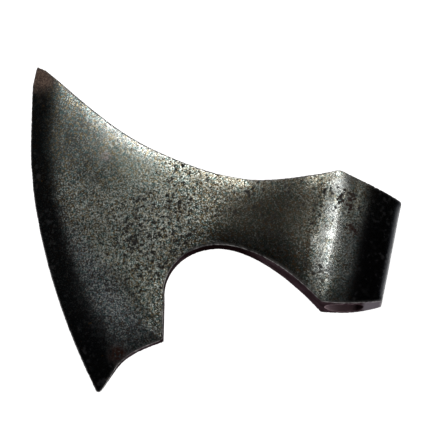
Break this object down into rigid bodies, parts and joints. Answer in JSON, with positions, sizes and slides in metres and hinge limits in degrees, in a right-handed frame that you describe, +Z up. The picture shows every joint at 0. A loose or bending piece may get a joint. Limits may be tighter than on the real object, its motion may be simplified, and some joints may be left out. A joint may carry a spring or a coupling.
{
  "type": "bearded broad axe head",
  "caption": "Forged bearded broad-axe head lying on its side: sweeping crescent edge, spurred beard, narrow neck and flared socket with a round haft eye.",
  "frame": {"origin": "middle of the bounding box at the table, under the head as it lies on its side", "axes": "+Z up; +Y along the haft eye, towards the upper horn; +X towards the poll, so the cutting edge faces -X. The head's mid-plane leans 4.1 degrees, poll side up"},
  "size_m": [0.2401, 0.1929, 0.0345],
  "materials": {
    "body_iron": "old forged iron, dark steel grey, finely pitted, satin, with brown specks and a few rust spots",
    "bit_steel": "hardened steel, darker than the body, satin, blunted along the edge, rust-brown on the upper horn"
  },
  "bodies": {
    "root": {"axe_body": "body_iron", "steel_bit": "bit_steel"}
  },
  "joints": []
}
